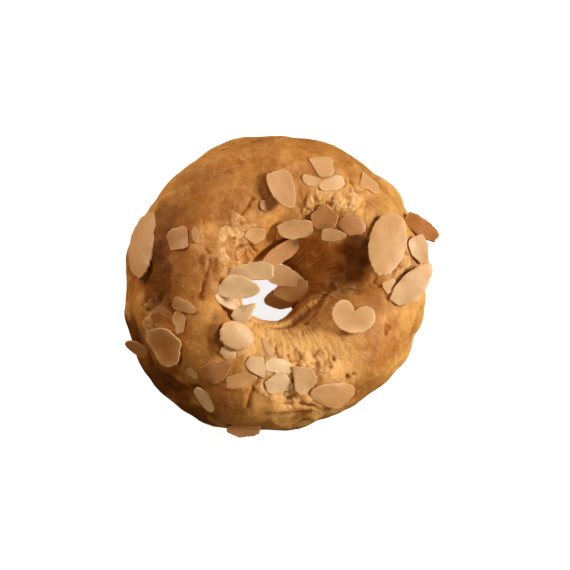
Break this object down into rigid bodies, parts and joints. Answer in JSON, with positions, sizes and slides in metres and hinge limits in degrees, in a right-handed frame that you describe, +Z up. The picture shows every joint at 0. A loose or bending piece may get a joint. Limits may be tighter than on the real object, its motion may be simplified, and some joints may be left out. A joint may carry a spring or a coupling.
{
  "type": "almond butter cookie",
  "caption": "Thick hand-shaped ring cookie of baked butter dough with a small off-centre hole, craggy on top, with sliced almonds stuck all over it.",
  "frame": {"origin": "on the table, under the middle of the whole cookie", "axes": "+Z up out of the cookie's top, +X and +Y in the table's plane, with +Y towards the side where the largest almond slice lies"},
  "size_m": [0.0878, 0.0984, 0.0418],
  "materials": {
    "baked_dough": "matte baked crust, golden to orange-brown",
    "sliced_almond": "satin toasted almond, pale"
  },
  "bodies": {
    "root": {"dough_ring": "baked_dough", "slice_bottom_edge": "sliced_almond", "slice_crest_curled": "sliced_almond", "slice_edge_pale": "sliced_almond", "slice_far_broken": "sliced_almond", "slice_far_long": "sliced_almond", "slice_far_small": "sliced_almond", "slice_front_long": "sliced_almond", "slice_front_pointed": "sliced_almond", "slice_half_almond": "sliced_almond", "slice_hole_deep": "sliced_almond", "slice_hole_leaf": "sliced_almond", "slice_hole_left": "sliced_almond", "slice_hole_right": "sliced_almond", "slice_hole_under": "sliced_almond", "slice_kidney": "sliced_almond", "slice_largest": "sliced_almond", "slice_near_low": "sliced_almond", "slice_right_long": "sliced_almond", "slice_right_upper": "sliced_almond", "slice_rim_lower": "sliced_almond", "slice_rim_pale": "sliced_almond", "slice_rim_pointed": "sliced_almond", "slice_rim_square": "sliced_almond", "slice_rim_triangle": "sliced_almond", "slice_side_long": "sliced_almond", "slice_side_oval": "sliced_almond", "slice_side_stub": "sliced_almond", "slice_stick": "sliced_almond"}
  },
  "joints": []
}
